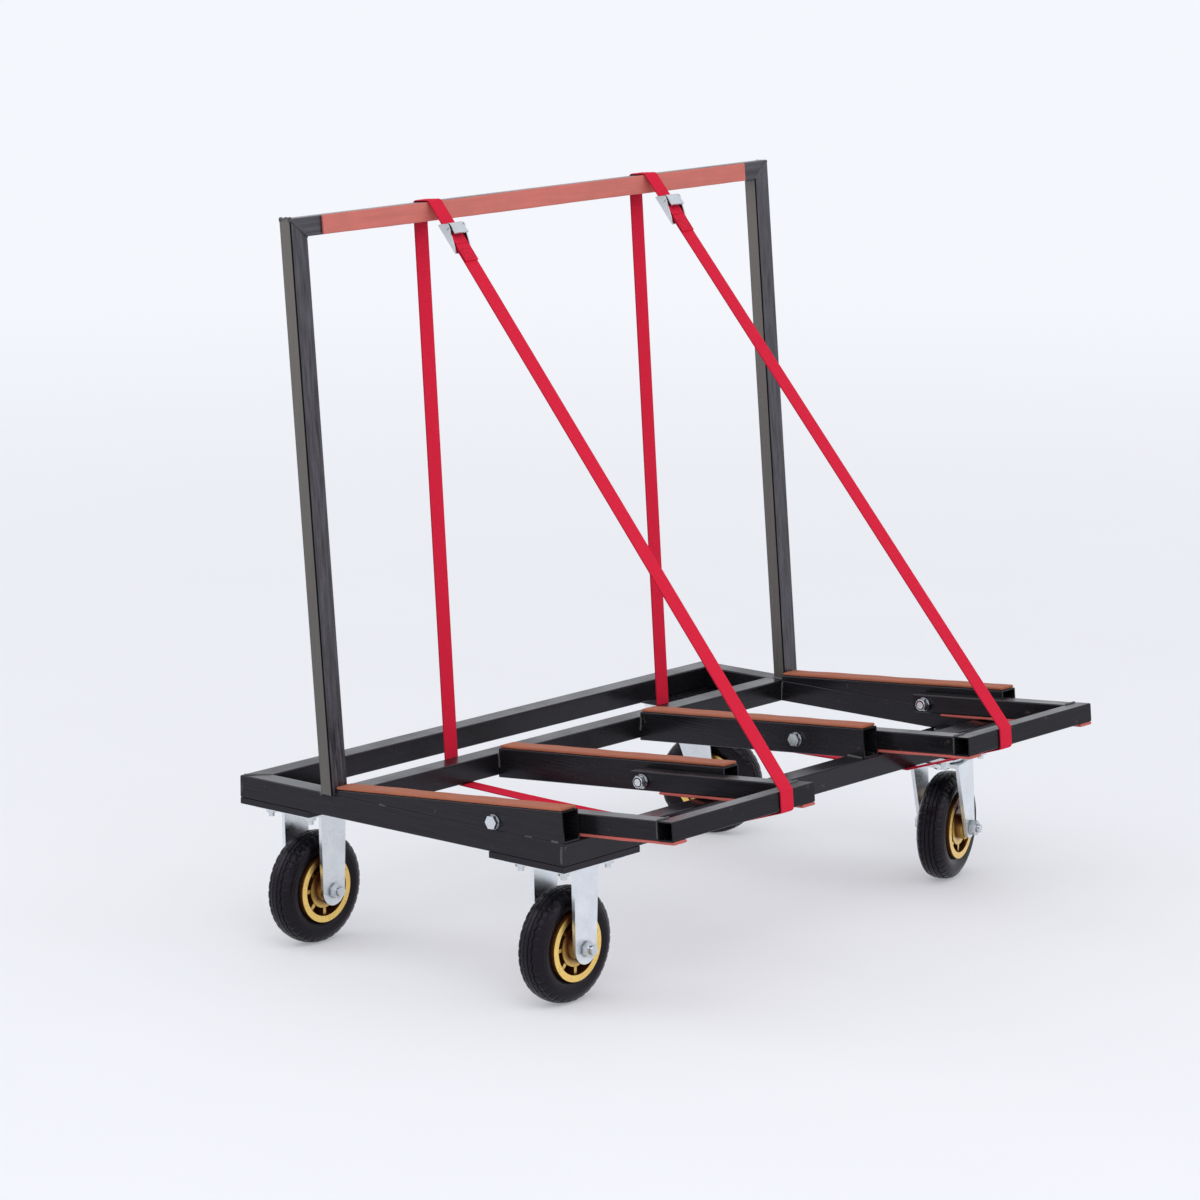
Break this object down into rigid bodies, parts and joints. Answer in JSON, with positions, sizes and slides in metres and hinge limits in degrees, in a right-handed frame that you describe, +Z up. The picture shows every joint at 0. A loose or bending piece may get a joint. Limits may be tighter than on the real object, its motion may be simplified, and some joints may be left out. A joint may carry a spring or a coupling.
{
  "type": "drywall cart",
  "caption": "Low panel cart with a tilted padded deck, leaning back frame, fold-over front frames, webbing straps, fixed casters at one end and swivel casters at the other.",
  "frame": {"origin": "on the floor, under the middle of the cart's bounding box", "axes": "+X along the cart from the fixed casters to the swivel casters, +Y to the back, where the back frame leans, +Z up"},
  "size_m": [0.966, 0.7106, 0.9679],
  "materials": {
    "black_steel": "satin",
    "zinc": "satin",
    "deck_rubber": "matte",
    "rail_rubber": "matte",
    "tyre_rubber": "matte",
    "gold": "gloss",
    "webbing": "woven"
  },
  "bodies": {
    "base": {"front_rail": "black_steel", "rear_rail": "black_steel", "left_end_rail": "black_steel", "right_end_rail": "black_steel", "cross_rail": "black_steel", "corner_plates": "black_steel", "left_outer_deck_tube": "black_steel", "left_inner_deck_tube": "black_steel", "right_inner_deck_tube": "black_steel", "right_outer_deck_tube": "black_steel", "left_deck_pads": "deck_rubber", "right_deck_pads": "deck_rubber", "pivot_bolts": "zinc", "pivot_washers": "zinc", "pivot_nuts": "zinc", "left_post": "black_steel", "right_post": "black_steel", "top_rail": "black_steel", "top_rail_pad": "rail_rubber", "front_left_rigid_fork": "zinc", "rear_left_rigid_fork": "zinc", "rigid_axles": "zinc", "front_right_swivel_plate": "zinc", "rear_right_swivel_plate": "zinc", "swivel_balls": "zinc", "kingpins": "zinc", "caster_bolts": "zinc", "caster_nuts": "zinc", "left_strap": "webbing", "right_strap": "webbing", "left_buckle_frame": "zinc", "right_buckle_frame": "zinc", "buckle_pins": "zinc"},
    "front_left_wheel": {"front_left_tyre": "tyre_rubber", "front_left_hub": "gold", "front_left_bearing": "zinc"},
    "rear_left_wheel": {"rear_left_tyre": "tyre_rubber", "rear_left_hub": "gold", "rear_left_bearing": "zinc"},
    "front_right_wheel": {"front_right_tyre": "tyre_rubber", "front_right_hub": "gold", "front_right_bearing": "zinc"},
    "front_right_swivel": {"front_right_swivel_fork": "zinc", "front_right_axle": "zinc"},
    "rear_right_wheel": {"rear_right_tyre": "tyre_rubber", "rear_right_hub": "gold", "rear_right_bearing": "zinc"},
    "rear_right_swivel": {"rear_right_swivel_fork": "zinc", "rear_right_axle": "zinc"},
    "left_front_frame": {"left_front_bar": "black_steel", "left_front_outer_leg": "black_steel", "left_front_inner_leg": "black_steel", "left_front_strips": "deck_rubber"},
    "left_buckle_cam": {"left_buckle_lever": "zinc"},
    "right_front_frame": {"right_front_bar": "black_steel", "right_front_outer_leg": "black_steel", "right_front_inner_leg": "black_steel", "right_front_strips": "deck_rubber"},
    "right_buckle_cam": {"right_buckle_lever": "zinc"}
  },
  "joints": [
    {"name": "front_left_spin", "type": "hinge", "parent": "base", "child": "front_left_wheel", "pos_m": [-0.4025, -0.14268, 0.075], "axis": [0, 1, 0], "continuous": true},
    {"name": "rear_left_spin", "type": "hinge", "parent": "base", "child": "rear_left_wheel", "pos_m": [-0.4025, 0.29332, 0.075], "axis": [0, 1, 0], "continuous": true},
    {"name": "front_right_swivel_turn", "type": "hinge", "parent": "base", "child": "front_right_swivel", "pos_m": [0.3875, -0.14268, 0.19], "axis": [0, 0, 1], "continuous": true},
    {"name": "front_right_spin", "type": "hinge", "parent": "front_right_swivel", "child": "front_right_wheel", "pos_m": [0.40923, -0.13686, 0.075], "axis": [-0.2588, 0.9659, 0], "continuous": true},
    {"name": "rear_right_swivel_turn", "type": "hinge", "parent": "base", "child": "rear_right_swivel", "pos_m": [0.3875, 0.29332, 0.19], "axis": [0, 0, 1], "continuous": true},
    {"name": "rear_right_spin", "type": "hinge", "parent": "rear_right_swivel", "child": "rear_right_wheel", "pos_m": [0.39593, 0.27246, 0.075], "axis": [0.9272, 0.3746, 0], "continuous": true},
    {"name": "left_fold", "type": "hinge", "parent": "base", "child": "left_front_frame", "pos_m": [-0.303, -0.09043, 0.23778], "axis": [-1, 0, 0], "range_deg": [0, 180], "deforming": ["left_strap"]},
    {"name": "left_cam_press", "type": "hinge", "parent": "base", "child": "left_buckle_cam", "pos_m": [-0.21826, 0.20675, 0.93554], "axis": [1, 0, 0], "range_deg": [0, 20], "stiffness_Nm_per_rad": 0.05},
    {"name": "right_fold", "type": "hinge", "parent": "base", "child": "right_front_frame", "pos_m": [0.303, -0.09043, 0.23778], "axis": [-1, 0, 0], "range_deg": [0, 180], "deforming": ["right_strap"]},
    {"name": "right_cam_press", "type": "hinge", "parent": "base", "child": "right_buckle_cam", "pos_m": [0.21962, 0.20675, 0.93554], "axis": [1, 0, 0], "range_deg": [0, 20], "stiffness_Nm_per_rad": 0.05}
  ]
}
